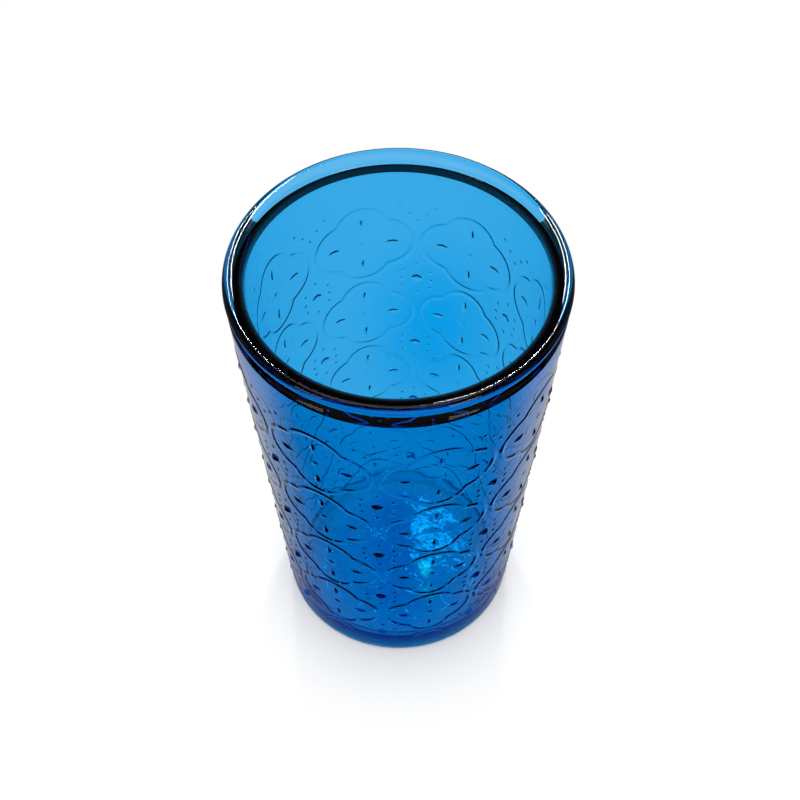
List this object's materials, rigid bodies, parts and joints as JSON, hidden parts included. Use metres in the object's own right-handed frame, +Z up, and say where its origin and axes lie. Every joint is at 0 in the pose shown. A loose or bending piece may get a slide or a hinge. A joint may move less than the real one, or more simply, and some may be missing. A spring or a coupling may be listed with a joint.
{
  "type": "drinking glass",
  "caption": "Tapered tumbler of thick clear blue pressed glass, with a rolled lip and a raised pattern of four-lobed frames, leaves and dots.",
  "frame": {"origin": "centre of the foot, on the table plane", "axes": "+Z up along the glass's axis, towards the lip; the picture was taken from -Y"},
  "size_m": [0.0852, 0.0852, 0.13],
  "materials": {
    "blue_glass": "clear, glossy, coloured through"
  },
  "bodies": {
    "root": {"base": "blue_glass", "side_wall": "blue_glass", "rim": "blue_glass", "frames": "blue_glass", "frame_leaves": "blue_glass", "frame_bosses": "blue_glass", "gap_leaves": "blue_glass", "dots": "blue_glass"}
  },
  "joints": []
}
